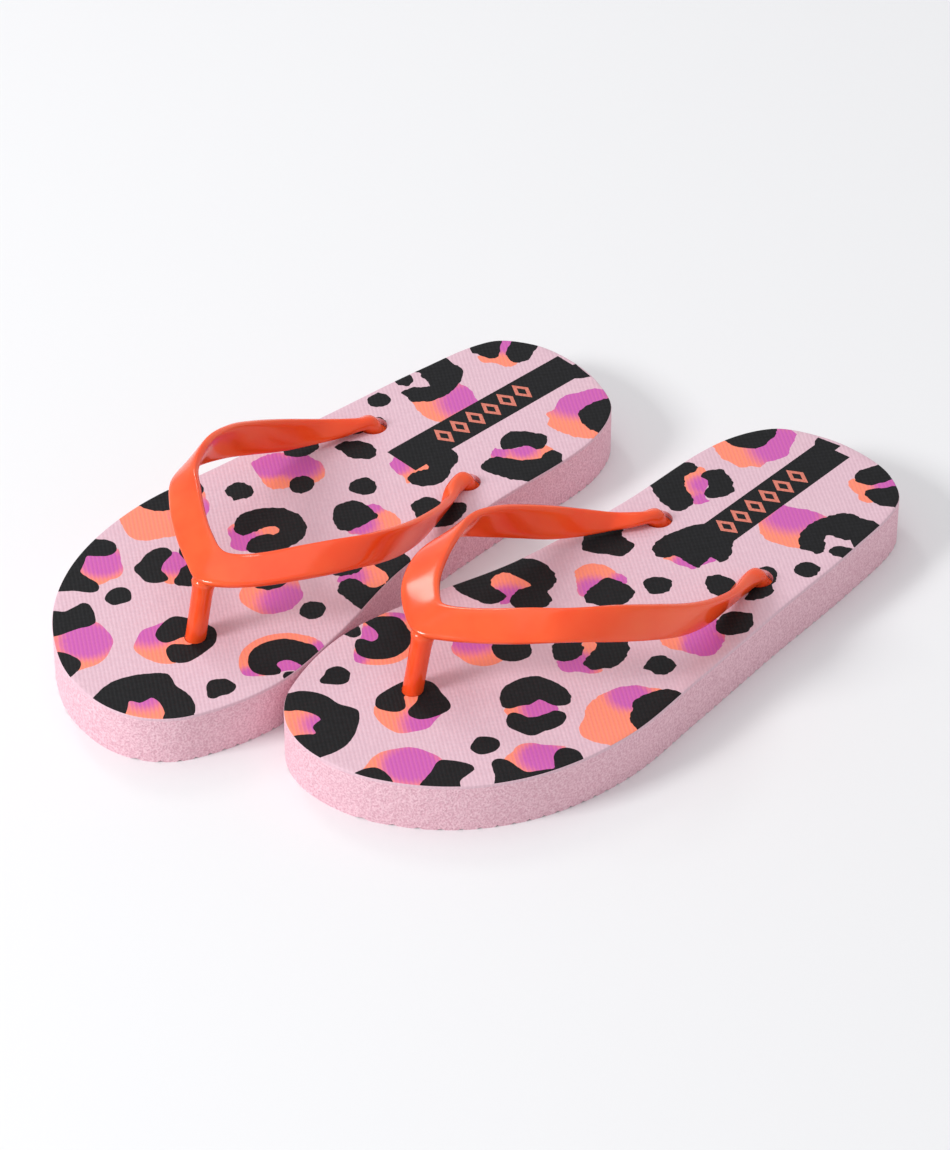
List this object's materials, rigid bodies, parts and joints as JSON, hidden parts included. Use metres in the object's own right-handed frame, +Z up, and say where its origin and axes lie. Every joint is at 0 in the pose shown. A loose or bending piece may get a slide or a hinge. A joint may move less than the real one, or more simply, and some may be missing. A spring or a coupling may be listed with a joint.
{
  "type": "pair of flip flops",
  "caption": "Child's pair of flip flops: flat foam soles with a spotted printed top, each with a moulded V strap whose toe post and arms plug through the sole.",
  "frame": {"origin": "bottom centre of the pair's bounding box, on the ground midway between the two shoes", "axes": "+Z up; +Y towards the heels, along both soles; +X towards the left shoe, so toes point to -Y"},
  "size_m": [0.174, 0.237, 0.0458],
  "materials": {
    "sole_foam": "matt, fine orange-peel grain, pale pink closed-cell foam",
    "printed_top": "satin, fine ribbed emboss, pale pink with a black, orange and magenta spot print",
    "strap_pvc": "glossy moulded soft plastic, coral orange"
  },
  "bodies": {
    "left_rear": {"left_sole_rear": "sole_foam", "left_top_rear": "printed_top", "left_strap": "strap_pvc"},
    "left_forefoot": {"left_sole_front": "sole_foam", "left_top_front": "printed_top"},
    "right_rear": {"right_sole_rear": "sole_foam", "right_top_rear": "printed_top", "right_strap": "strap_pvc"},
    "right_forefoot": {"right_sole_front": "sole_foam", "right_top_front": "printed_top"}
  },
  "joints": [
    {"name": "left_toe_bend", "type": "hinge", "parent": "left_rear", "child": "left_forefoot", "pos_m": [0.04424, -0.0215, 0.016], "axis": [-1, 0, 0], "range_deg": [0, 40], "stiffness_Nm_per_rad": 0.6, "deforming": ["left_strap"]},
    {"name": "right_toe_bend", "type": "hinge", "parent": "right_rear", "child": "right_forefoot", "pos_m": [-0.04424, -0.0485, 0.016], "axis": [-1, 0, 0], "range_deg": [0, 40], "stiffness_Nm_per_rad": 0.6, "deforming": ["right_strap"]},
    {"name": "right_shoe_aside", "type": "slide", "parent": "left_rear", "child": "right_rear", "axis": [-1, 0, 0], "range_m": [0, 0.1]}
  ]
}
